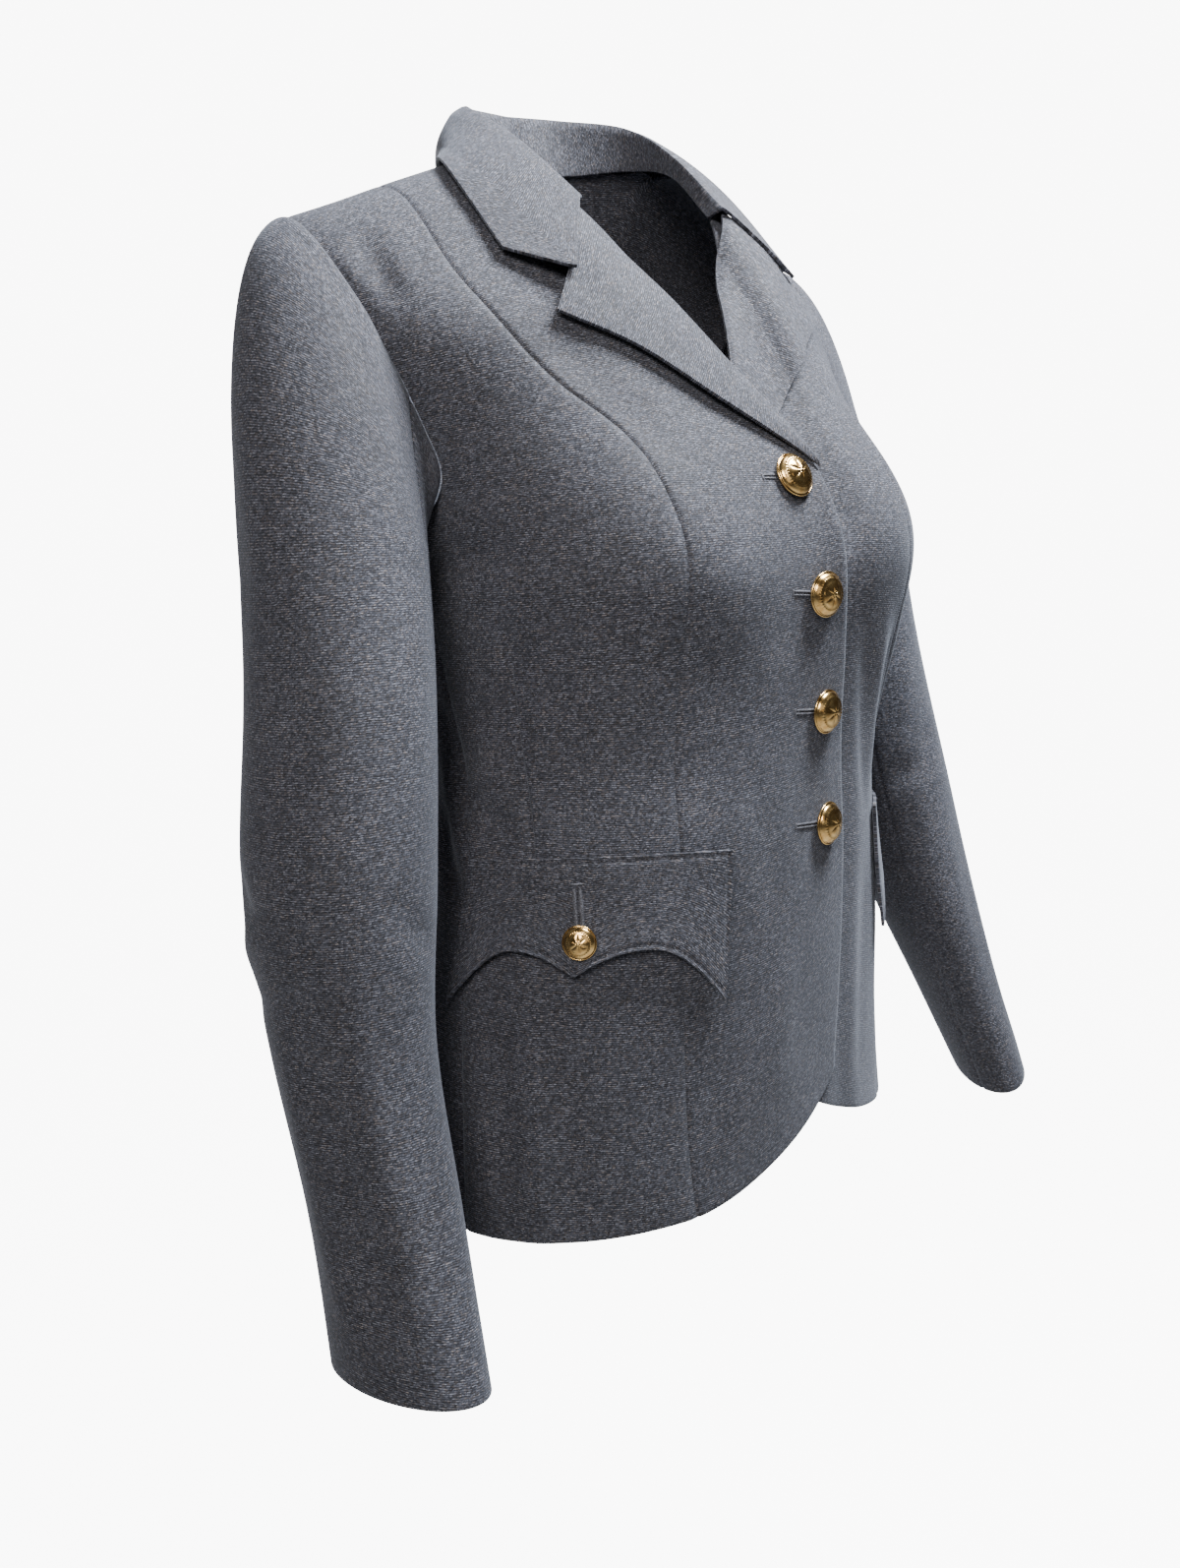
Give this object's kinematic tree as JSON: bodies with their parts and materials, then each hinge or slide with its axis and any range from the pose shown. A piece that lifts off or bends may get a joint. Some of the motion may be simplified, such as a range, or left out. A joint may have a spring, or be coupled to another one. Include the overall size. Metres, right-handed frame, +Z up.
{
  "type": "women's military uniform jacket",
  "caption": "Women's single-breasted wool uniform jacket in blue-grey, with notched lapels, scalloped pocket flaps and gilt buttons.",
  "frame": {"origin": "between the shoulders at the base of the neck, where the wearer's shoulders carry the jacket", "axes": "+Z up along the wearer, +X to the wearer's left, -Y to the front"},
  "size_m": [0.6318, 0.2745, 0.7541],
  "materials": {
    "wool": "blue-grey heathered wool barathea, soft matt sheen",
    "gilt": "polished gilt"
  },
  "bodies": {
    "root": {"back_left": "wool", "back_right": "wool", "collar": "wool", "flap_button_left": "gilt", "flap_button_right": "gilt", "front_button_1": "gilt", "front_button_2": "gilt", "front_button_3": "gilt", "front_button_4": "gilt", "front_left": "wool", "front_right": "wool", "lapel_left": "wool", "lapel_right": "wool", "pocket_flap_left": "wool", "pocket_flap_right": "wool", "side_front_left": "wool", "side_front_right": "wool", "top_sleeve_left": "wool", "top_sleeve_right": "wool", "under_sleeve_left": "wool", "under_sleeve_right": "wool"}
  },
  "joints": []
}
